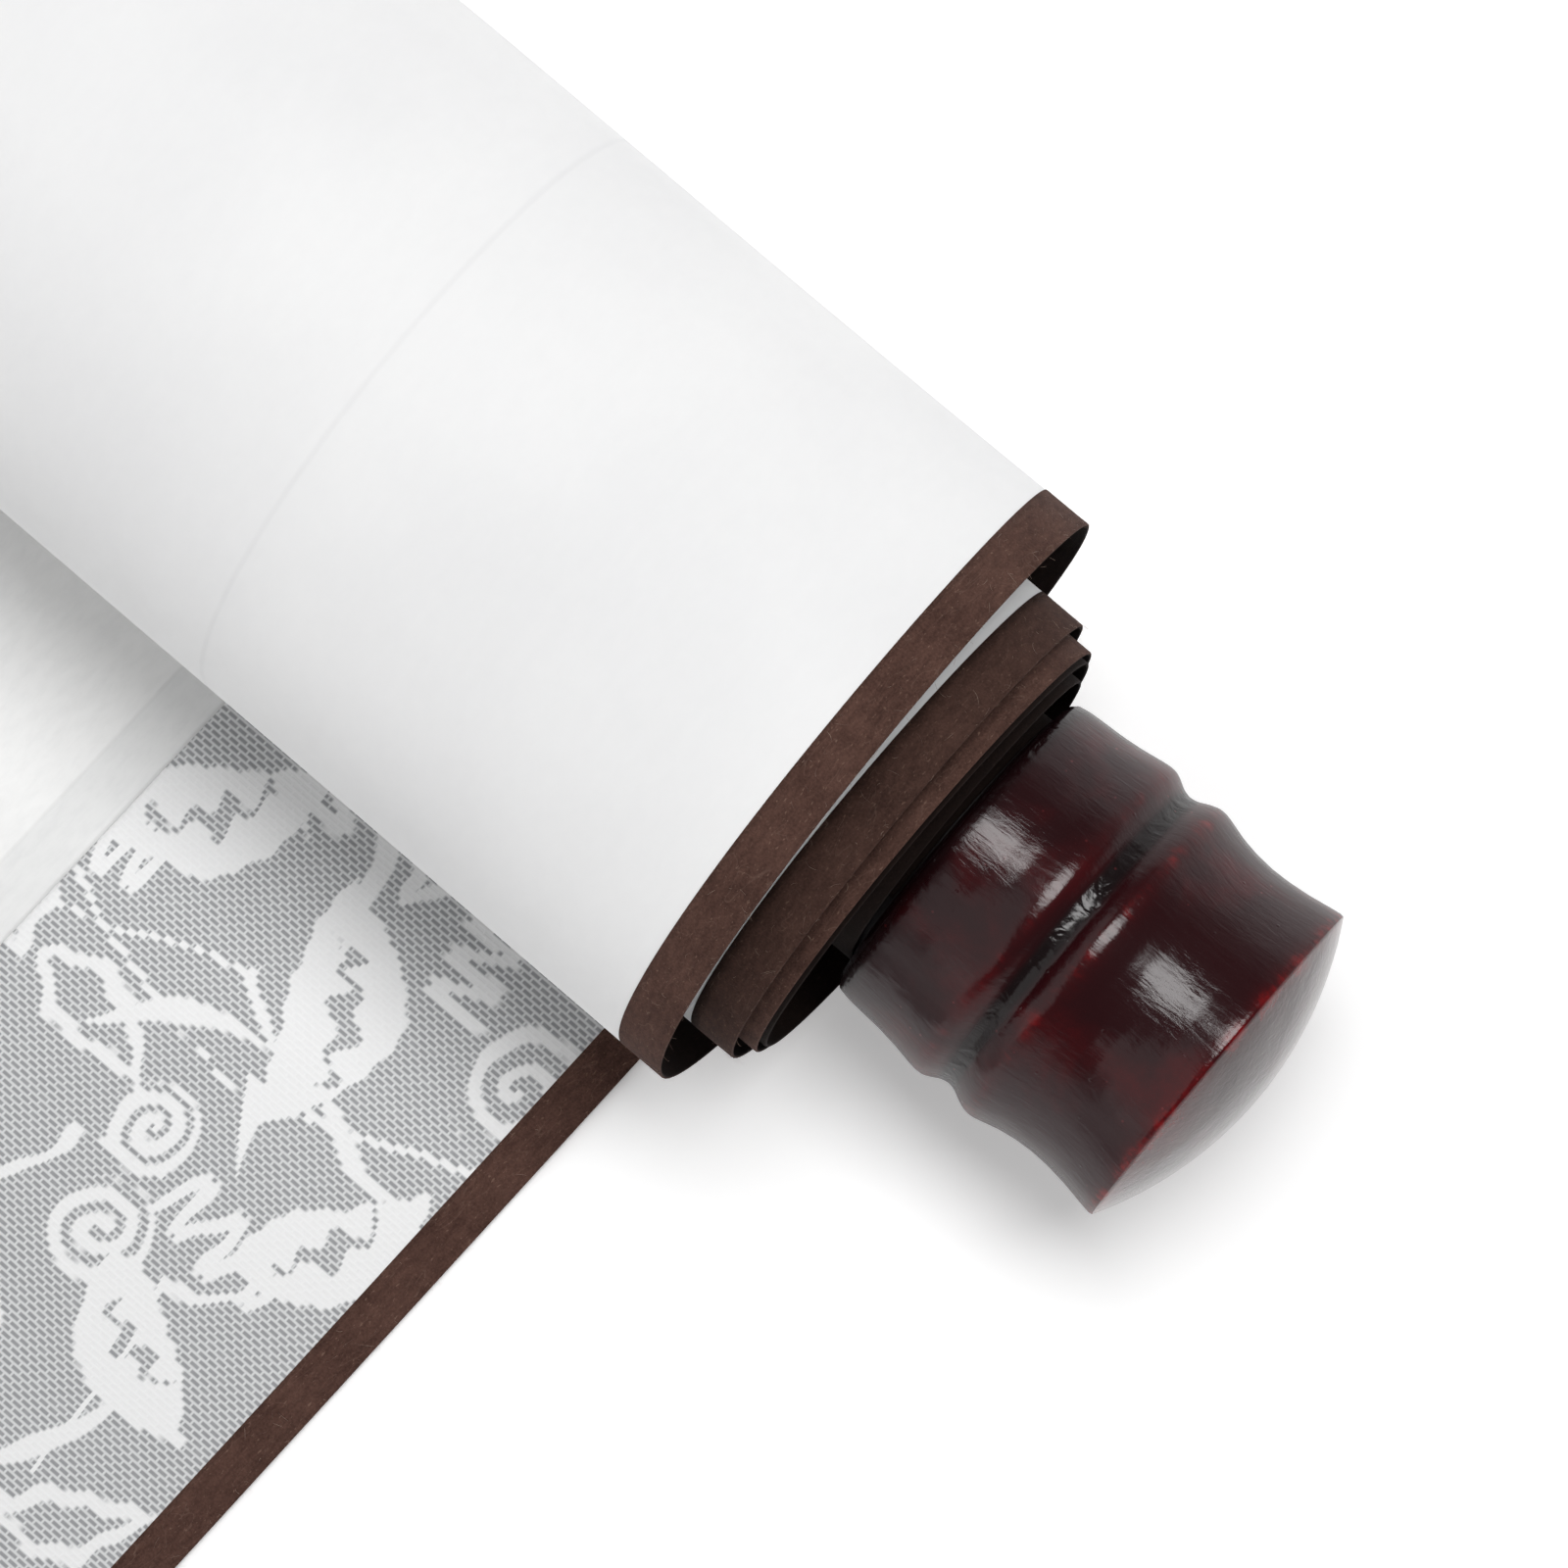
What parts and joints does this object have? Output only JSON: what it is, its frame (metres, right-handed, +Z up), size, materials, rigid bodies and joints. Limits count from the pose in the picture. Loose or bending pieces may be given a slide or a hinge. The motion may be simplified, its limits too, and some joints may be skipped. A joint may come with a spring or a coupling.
{
  "type": "hanging scroll",
  "caption": "Blank paper hanging scroll with damask borders, loosely wound on a lacquered wooden roller, its upper end unrolled flat.",
  "frame": {"origin": "underside of the sheet, below the middle of the roll's outer turn and midway across the sheet", "axes": "+X along the roller towards the right-hand knob, +Z up from the surface the scroll lies on; the flat sheet runs towards -Y"},
  "size_m": [0.3894, 0.336, 0.0509],
  "materials": {
    "backing_paper": "matt white mounting paper",
    "picture_paper": "matt blank picture paper",
    "damask": "grey and white figured damask on paper",
    "edging": "matt dark brown fibrous paper",
    "roller_wood": "plain planed wood",
    "lacquer": "dark red gloss lacquer on turned wood",
    "batten_wood": "plain planed wood",
    "eye_brass": "drawn wire"
  },
  "bodies": {
    "root": {"backing_paper": "backing_paper", "picture_paper": "picture_paper", "damask_border": "damask", "edge_strip_left": "edging", "edge_strip_right": "edging", "roller_rod": "roller_wood", "knob_left": "lacquer", "knob_right": "lacquer", "top_batten": "batten_wood", "hanging_eye_left": "eye_brass", "hanging_eye_right": "eye_brass"}
  },
  "joints": []
}
